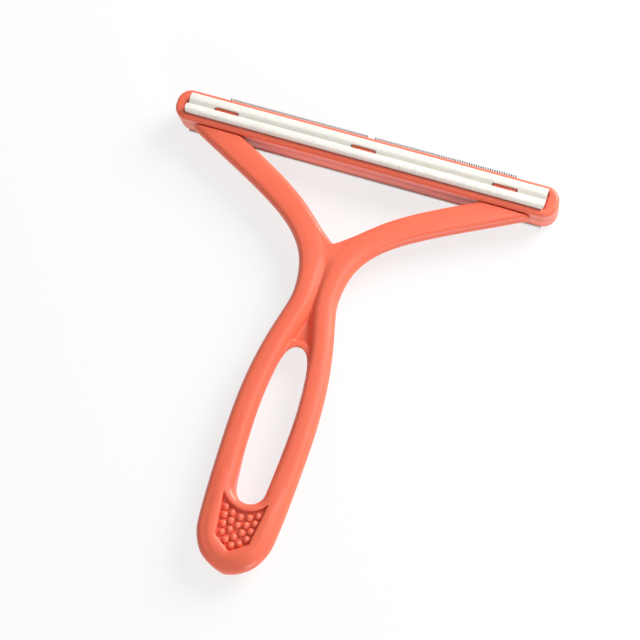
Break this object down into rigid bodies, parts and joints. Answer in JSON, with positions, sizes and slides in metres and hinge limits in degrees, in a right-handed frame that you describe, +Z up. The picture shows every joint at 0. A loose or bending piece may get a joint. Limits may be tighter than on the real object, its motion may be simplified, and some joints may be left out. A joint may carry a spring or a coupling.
{
  "type": "pet hair scraper",
  "caption": "Y-shaped hand scraper for pet hair: a moulded grip with a long hanging hole carries a head with a soft lipped strip, serrated edge blades and a toothed steel comb.",
  "frame": {"origin": "under the middle of the whole length and width, at the level it lies on", "axes": "+X along the head, +Y from the handle's end to the head's toothed edge, +Z up out of the strip face"},
  "size_m": [0.1474, 0.1708, 0.0156],
  "materials": {
    "grip_coral": "satin moulded",
    "holder_coral": "satin moulded",
    "strip_white": "soft matt with fine ribs",
    "blade_steel": "punched sheet",
    "comb_steel": "punched sheet"
  },
  "bodies": {
    "root": {"grip_body": "grip_coral", "strip_holder": "holder_coral", "scraper_strip": "strip_white", "left_edge_blade": "blade_steel", "right_edge_blade": "blade_steel", "back_comb": "comb_steel"}
  },
  "joints": []
}
